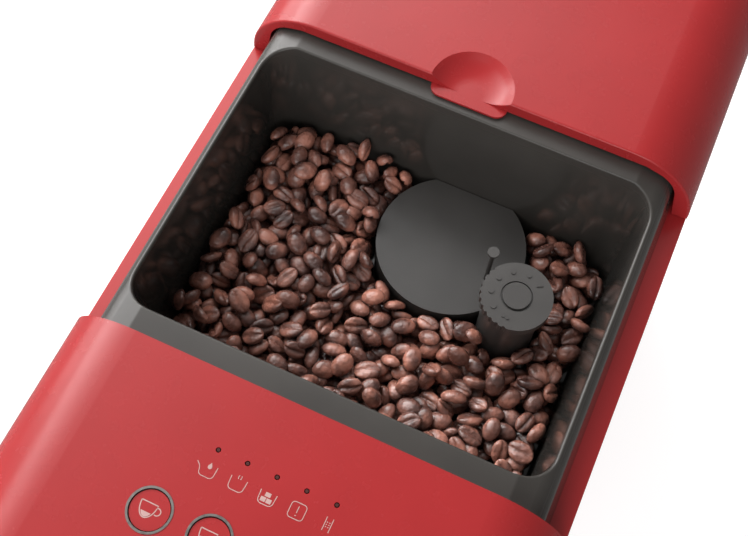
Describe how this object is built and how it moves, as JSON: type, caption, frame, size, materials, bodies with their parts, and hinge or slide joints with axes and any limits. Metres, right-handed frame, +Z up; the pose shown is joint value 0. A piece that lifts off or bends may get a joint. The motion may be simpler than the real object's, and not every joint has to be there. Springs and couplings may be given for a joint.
{
  "type": "bean-to-cup coffee machine",
  "caption": "Slim bean-to-cup coffee machine: red casing, sliding lid open over a black bean hopper with grind dial, press buttons, drip tray and rear water tank.",
  "frame": {"origin": "middle of the footprint on the floor", "axes": "+Z up, -Y towards the user at the drip tray, +X to the user's right"},
  "size_m": [0.18, 0.433, 0.3392],
  "materials": {
    "red_paint": "satin red",
    "red_plastic": "satin red moulding",
    "black_gloss": "polished black",
    "black_matte": "fine grain black",
    "dark_grey": "matt charcoal",
    "satin_alloy": "brushed along its width",
    "bright_ring": "turned grey",
    "steel": "brushed",
    "rubber": "soft",
    "smoke_clear": "smoked clear tank",
    "board": "circuit board",
    "lamp": "dark lamp window",
    "burr_steel": "ground",
    "brass_part": "turned",
    "hose_clear": "silicone",
    "beans": "dark roast, oily",
    "float_red": "plain"
  },
  "bodies": {
    "casing": {"base_pan": "black_matte", "feet": "rubber", "left_side_panel": "red_paint", "right_side_panel": "red_paint", "nose_panel": "red_paint", "head_underside": "black_matte", "front_panel": "satin_alloy", "front_cover": "red_plastic", "rear_bulkhead": "black_matte", "rear_cover": "black_matte", "rear_deck": "black_gloss", "chassis": "steel", "bean_hopper": "black_gloss", "button_rings": "bright_ring", "light_guides": "lamp", "control_board": "board", "board_screws": "steel", "grinder_cover": "dark_grey", "coffee_beans": "beans", "grinder_housing": "dark_grey", "gear_case": "black_matte", "grinder_motor": "steel", "grounds_chute": "dark_grey", "brew_frame": "dark_grey", "brew_chamber": "dark_grey", "brew_motor": "black_matte", "thermoblock": "satin_alloy", "pump": "brass_part", "tank_hose": "hose_clear", "pressure_hoses": "hose_clear", "power_board": "board", "mains_inlet": "black_matte"},
    "lid": {"hopper_lid": "red_plastic"},
    "dial": {"grind_dial": "dark_grey", "dial_spindle": "dark_grey"},
    "adjuster": {"adjuster_ring": "dark_grey", "upper_burr": "burr_steel"},
    "burr": {"burr_gear": "brass_part", "lower_burr": "burr_steel"},
    "motor_rotor": {"motor_pinion": "burr_steel"},
    "screw": {"brew_screw": "steel"},
    "piston": {"brew_piston": "black_matte"},
    "spout": {"coffee_spout": "black_gloss"},
    "tray": {"drip_tray": "black_matte", "grounds_bin": "dark_grey"},
    "grille": {"cup_grille": "steel"},
    "float": {"tray_float": "float_red"},
    "tank": {"water_tank": "smoke_clear", "tank_lid": "black_gloss", "tank_valve": "dark_grey"},
    "door": {"service_door": "red_paint"},
    "button_1": {"drink_button_1": "red_plastic"},
    "button_2": {"drink_button_2": "red_plastic"},
    "button_3": {"drink_button_3": "red_plastic"},
    "button_4": {"drink_button_4": "red_plastic"},
    "button_5": {"drink_button_5": "red_plastic"},
    "button_6": {"drink_button_6": "red_plastic"},
    "button_7": {"drink_button_7": "red_plastic"},
    "button_8": {"drink_button_8": "red_plastic"}
  },
  "joints": [
    {"name": "lid_slide", "type": "slide", "parent": "casing", "child": "lid", "axis": [0, -1, 0], "range_m": [0, 0.131]},
    {"name": "button_1_press", "type": "slide", "parent": "casing", "child": "button_1", "axis": [0, 0, -1], "range_m": [0, 0.0012], "stiffness_N_per_m": 900},
    {"name": "button_2_press", "type": "slide", "parent": "casing", "child": "button_2", "axis": [0, 0, -1], "range_m": [0, 0.0012], "stiffness_N_per_m": 900},
    {"name": "button_3_press", "type": "slide", "parent": "casing", "child": "button_3", "axis": [0, 0, -1], "range_m": [0, 0.0012], "stiffness_N_per_m": 900},
    {"name": "button_4_press", "type": "slide", "parent": "casing", "child": "button_4", "axis": [0, 0, -1], "range_m": [0, 0.0012], "stiffness_N_per_m": 900},
    {"name": "button_5_press", "type": "slide", "parent": "casing", "child": "button_5", "axis": [0, 0, -1], "range_m": [0, 0.0012], "stiffness_N_per_m": 900},
    {"name": "button_6_press", "type": "slide", "parent": "casing", "child": "button_6", "axis": [0, 0, -1], "range_m": [0, 0.0012], "stiffness_N_per_m": 900},
    {"name": "button_7_press", "type": "slide", "parent": "casing", "child": "button_7", "axis": [0, 0, -1], "range_m": [0, 0.0012], "stiffness_N_per_m": 900},
    {"name": "button_8_press", "type": "slide", "parent": "casing", "child": "button_8", "axis": [0, 0, -1], "range_m": [0, 0.0012], "stiffness_N_per_m": 900},
    {"name": "dial_turn", "type": "hinge", "parent": "casing", "child": "dial", "pos_m": [0.0439, -0.0032, 0.307], "axis": [0, 0, 1], "range_deg": [-70, 112]},
    {"name": "adjuster_turn", "type": "hinge", "parent": "casing", "child": "adjuster", "pos_m": [0.0121, 0.0176, 0.2535], "axis": [0, 0, 1], "range_deg": [-35, 22]},
    {"name": "burr_spin", "type": "hinge", "parent": "casing", "child": "burr", "pos_m": [0.0121, 0.0176, 0.2215], "axis": [0, 0, 1], "continuous": true},
    {"name": "motor_spin", "type": "hinge", "parent": "casing", "child": "motor_rotor", "pos_m": [0.0121, 0.0476, 0.2215], "axis": [0, 0, 1], "continuous": true},
    {"name": "brew_screw_turn", "type": "hinge", "parent": "casing", "child": "screw", "pos_m": [0, -0.0495, 0.11], "axis": [0, 0, 1], "range_deg": [0, 1350]},
    {"name": "piston_lift", "type": "slide", "parent": "casing", "child": "piston", "axis": [0, 0, 1], "range_m": [0, 0.03]},
    {"name": "spout_height", "type": "slide", "parent": "casing", "child": "spout", "axis": [0, 0, -1], "range_m": [0, 0.045]},
    {"name": "tray_pull", "type": "slide", "parent": "casing", "child": "tray", "axis": [0, -1, 0], "range_m": [0, 0.19]},
    {"name": "grille_lift", "type": "slide", "parent": "tray", "child": "grille", "axis": [0, 0, 1], "range_m": [0, 0.04]},
    {"name": "float_rise", "type": "slide", "parent": "tray", "child": "float", "axis": [0, 0, 1], "range_m": [0, 0.01]},
    {"name": "tank_pull", "type": "slide", "parent": "casing", "child": "tank", "axis": [0, 1, 0], "range_m": [0, 0.08]},
    {"name": "door_pull", "type": "slide", "parent": "casing", "child": "door", "axis": [1, 0, 0], "range_m": [0, 0.03]}
  ],
  "couplings": [
    {"joint": "adjuster_turn", "follows": "dial_turn", "ratio": -0.30435},
    {"joint": "motor_spin", "follows": "burr_spin", "ratio": -3.2857},
    {"joint": "piston_lift", "follows": "brew_screw_turn", "m_per_rad": 0.0012732}
  ]
}
